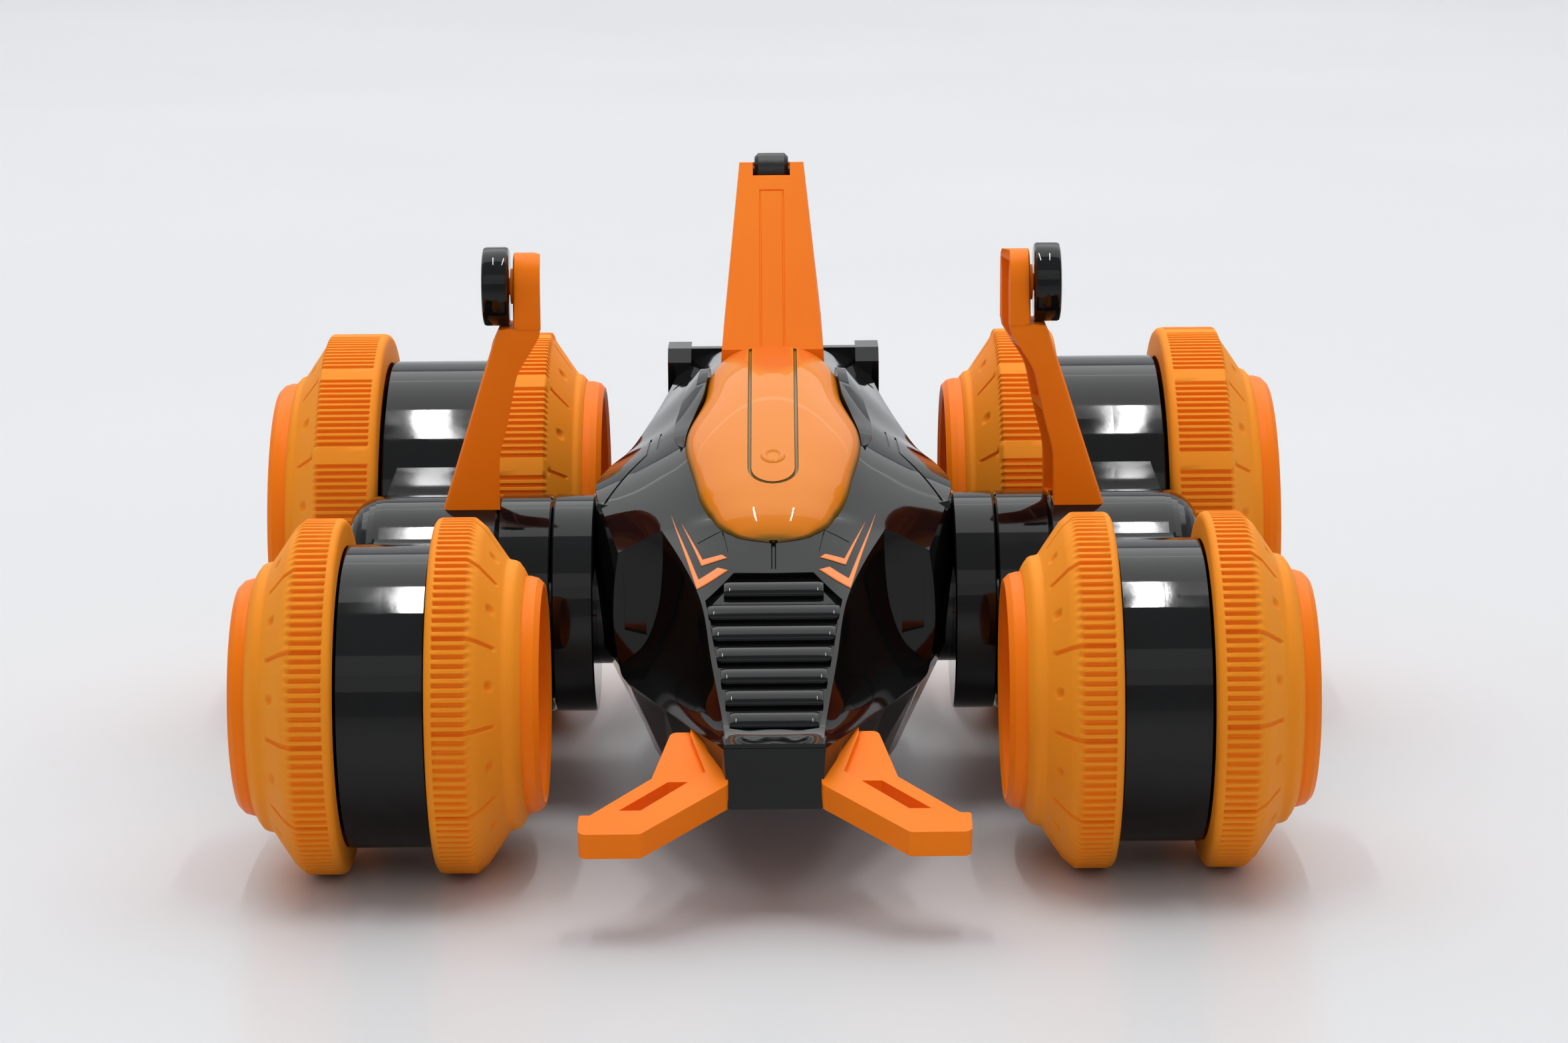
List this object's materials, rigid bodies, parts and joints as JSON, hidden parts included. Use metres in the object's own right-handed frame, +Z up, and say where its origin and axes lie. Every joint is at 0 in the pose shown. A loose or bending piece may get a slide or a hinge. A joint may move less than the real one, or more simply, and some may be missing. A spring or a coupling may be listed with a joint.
{
  "type": "rc stunt car",
  "caption": "Remote-controlled stunt car: a winged body with a fin and front tusks hung between swing arms that carry paired wheels and roller masts.",
  "frame": {"origin": "on the floor, under the axis that the swing arms turn about, midway along, across and under the car", "axes": "+Z up, the nose points along -Y, and the car's own left side is +X"},
  "size_m": [0.2074, 0.2058, 0.1174],
  "materials": {
    "shell_black": "polished black ABS",
    "frame_black": "glossy black ABS",
    "trim_black": "satin black ABS",
    "orange_plastic": "satin orange ABS",
    "orange_tyre": "soft matte orange TPR",
    "canopy_amber": "glossy amber over an orange lining",
    "decal_orange": "printed sticker",
    "nylon": "natural nylon",
    "steel": "plated steel",
    "brass": "machined",
    "battery_wrap": "shrink wrap",
    "board_green": "solder mask"
  },
  "bodies": {
    "chassis": {"upper_shell": "shell_black", "lower_shell": "frame_black", "canopy": "canopy_amber", "window_trim": "frame_black", "fin": "orange_plastic", "left_front_tusk": "orange_plastic", "right_front_tusk": "orange_plastic", "decals": "decal_orange", "rear_wing": "trim_black", "battery_pack": "battery_wrap", "battery_door": "trim_black", "circuit_board": "board_green", "arm_bearings": "frame_black", "arm_motor": "steel", "shell_screws": "steel"},
    "power_switch": {"power_switch": "trim_black"},
    "fin_roller": {"fin_roller": "trim_black"},
    "arm_motor_pinion": {"arm_motor_pinion": "brass"},
    "arms": {"arm_shaft": "steel", "arm_gear": "nylon", "left_arm_inner_casing": "frame_black", "left_arm_outer_casing": "frame_black", "left_mast": "orange_plastic", "left_drive_motor": "steel", "left_casing_screws": "steel", "right_arm_inner_casing": "frame_black", "right_arm_outer_casing": "frame_black", "right_mast": "orange_plastic", "right_drive_motor": "steel", "right_casing_screws": "steel"},
    "left_mast_roller": {"left_mast_roller": "trim_black"},
    "left_rear_wheels": {"left_rear_geared_shaft": "nylon", "left_rear_inner_hub": "orange_plastic", "left_rear_inner_tyre": "orange_tyre", "left_rear_outer_hub": "orange_plastic", "left_rear_outer_tyre": "orange_tyre"},
    "left_front_wheels": {"left_front_geared_shaft": "nylon", "left_front_inner_hub": "orange_plastic", "left_front_inner_tyre": "orange_tyre", "left_front_outer_hub": "orange_plastic", "left_front_outer_tyre": "orange_tyre"},
    "left_rear_idler": {"left_rear_idler": "nylon"},
    "left_middle_gear": {"left_middle_gear": "nylon"},
    "left_front_idler": {"left_front_idler": "nylon"},
    "left_motor_pinion": {"left_motor_pinion": "brass"},
    "right_mast_roller": {"right_mast_roller": "trim_black"},
    "right_rear_wheels": {"right_rear_geared_shaft": "nylon", "right_rear_inner_hub": "orange_plastic", "right_rear_inner_tyre": "orange_tyre", "right_rear_outer_hub": "orange_plastic", "right_rear_outer_tyre": "orange_tyre"},
    "right_front_wheels": {"right_front_geared_shaft": "nylon", "right_front_inner_hub": "orange_plastic", "right_front_inner_tyre": "orange_tyre", "right_front_outer_hub": "orange_plastic", "right_front_outer_tyre": "orange_tyre"},
    "right_rear_idler": {"right_rear_idler": "nylon"},
    "right_middle_gear": {"right_middle_gear": "nylon"},
    "right_front_idler": {"right_front_idler": "nylon"},
    "right_motor_pinion": {"right_motor_pinion": "brass"}
  },
  "joints": [
    {"name": "arms_turn", "type": "hinge", "parent": "chassis", "child": "arms", "pos_m": [0, 0, 0.0369], "axis": [1, 0, 0], "continuous": true},
    {"name": "arm_motor_pinion_turn", "type": "hinge", "parent": "chassis", "child": "arm_motor_pinion", "pos_m": [0, 0.023, 0.0369], "axis": [1, 0, 0], "continuous": true},
    {"name": "power_switch_slide", "type": "slide", "parent": "chassis", "child": "power_switch", "axis": [0, 1, 0], "range_m": [0, 0.0026]},
    {"name": "fin_roller_turn", "type": "hinge", "parent": "chassis", "child": "fin_roller", "pos_m": [0, 0.0666, 0.1134], "axis": [1, 0, 0], "continuous": true},
    {"name": "left_mast_roller_turn", "type": "hinge", "parent": "arms", "child": "left_mast_roller", "pos_m": [0.053, 0, 0.0996], "axis": [1, 0, 0], "continuous": true},
    {"name": "left_rear_wheels_turn", "type": "hinge", "parent": "arms", "child": "left_rear_wheels", "pos_m": [0.0696, 0.06292, 0.04], "axis": [1, 0, 0], "continuous": true},
    {"name": "left_front_wheels_turn", "type": "hinge", "parent": "arms", "child": "left_front_wheels", "pos_m": [0.0696, -0.05583, 0.0325], "axis": [1, 0, 0], "continuous": true},
    {"name": "left_rear_idler_turn", "type": "hinge", "parent": "arms", "child": "left_rear_idler", "pos_m": [0.0696, 0.03196, 0.03848], "axis": [1, 0, 0], "continuous": true},
    {"name": "left_middle_gear_turn", "type": "hinge", "parent": "arms", "child": "left_middle_gear", "pos_m": [0.0696, 0, 0.0369], "axis": [1, 0, 0], "continuous": true},
    {"name": "left_front_idler_turn", "type": "hinge", "parent": "arms", "child": "left_front_idler", "pos_m": [0.0696, -0.02991, 0.03454], "axis": [1, 0, 0], "continuous": true},
    {"name": "left_motor_pinion_turn", "type": "hinge", "parent": "arms", "child": "left_motor_pinion", "pos_m": [0.0696, 0, 0.0249], "axis": [1, 0, 0], "continuous": true},
    {"name": "right_mast_roller_turn", "type": "hinge", "parent": "arms", "child": "right_mast_roller", "pos_m": [-0.053, 0, 0.0996], "axis": [1, 0, 0], "continuous": true},
    {"name": "right_rear_wheels_turn", "type": "hinge", "parent": "arms", "child": "right_rear_wheels", "pos_m": [-0.0696, 0.06292, 0.04], "axis": [1, 0, 0], "continuous": true},
    {"name": "right_front_wheels_turn", "type": "hinge", "parent": "arms", "child": "right_front_wheels", "pos_m": [-0.0696, -0.05583, 0.0325], "axis": [1, 0, 0], "continuous": true},
    {"name": "right_rear_idler_turn", "type": "hinge", "parent": "arms", "child": "right_rear_idler", "pos_m": [-0.0696, 0.03196, 0.03848], "axis": [1, 0, 0], "continuous": true},
    {"name": "right_middle_gear_turn", "type": "hinge", "parent": "arms", "child": "right_middle_gear", "pos_m": [-0.0696, 0, 0.0369], "axis": [1, 0, 0], "continuous": true},
    {"name": "right_front_idler_turn", "type": "hinge", "parent": "arms", "child": "right_front_idler", "pos_m": [-0.0696, -0.02991, 0.03454], "axis": [1, 0, 0], "continuous": true},
    {"name": "right_motor_pinion_turn", "type": "hinge", "parent": "arms", "child": "right_motor_pinion", "pos_m": [-0.0696, 0, 0.0249], "axis": [1, 0, 0], "continuous": true}
  ],
  "couplings": [
    {"joint": "arm_motor_pinion_turn", "follows": "arms_turn", "ratio": -3.6},
    {"joint": "left_front_wheels_turn", "follows": "left_rear_wheels_turn", "ratio": 1.2308},
    {"joint": "left_rear_idler_turn", "follows": "left_rear_wheels_turn", "ratio": -1.0667},
    {"joint": "left_middle_gear_turn", "follows": "left_rear_wheels_turn", "ratio": 0.94118},
    {"joint": "left_front_idler_turn", "follows": "left_rear_wheels_turn", "ratio": -1.2308},
    {"joint": "left_motor_pinion_turn", "follows": "left_rear_wheels_turn", "ratio": -3.5765},
    {"joint": "right_front_wheels_turn", "follows": "right_rear_wheels_turn", "ratio": 1.2308},
    {"joint": "right_rear_idler_turn", "follows": "right_rear_wheels_turn", "ratio": -1.0667},
    {"joint": "right_middle_gear_turn", "follows": "right_rear_wheels_turn", "ratio": 0.94118},
    {"joint": "right_front_idler_turn", "follows": "right_rear_wheels_turn", "ratio": -1.2308},
    {"joint": "right_motor_pinion_turn", "follows": "right_rear_wheels_turn", "ratio": -3.5765}
  ]
}
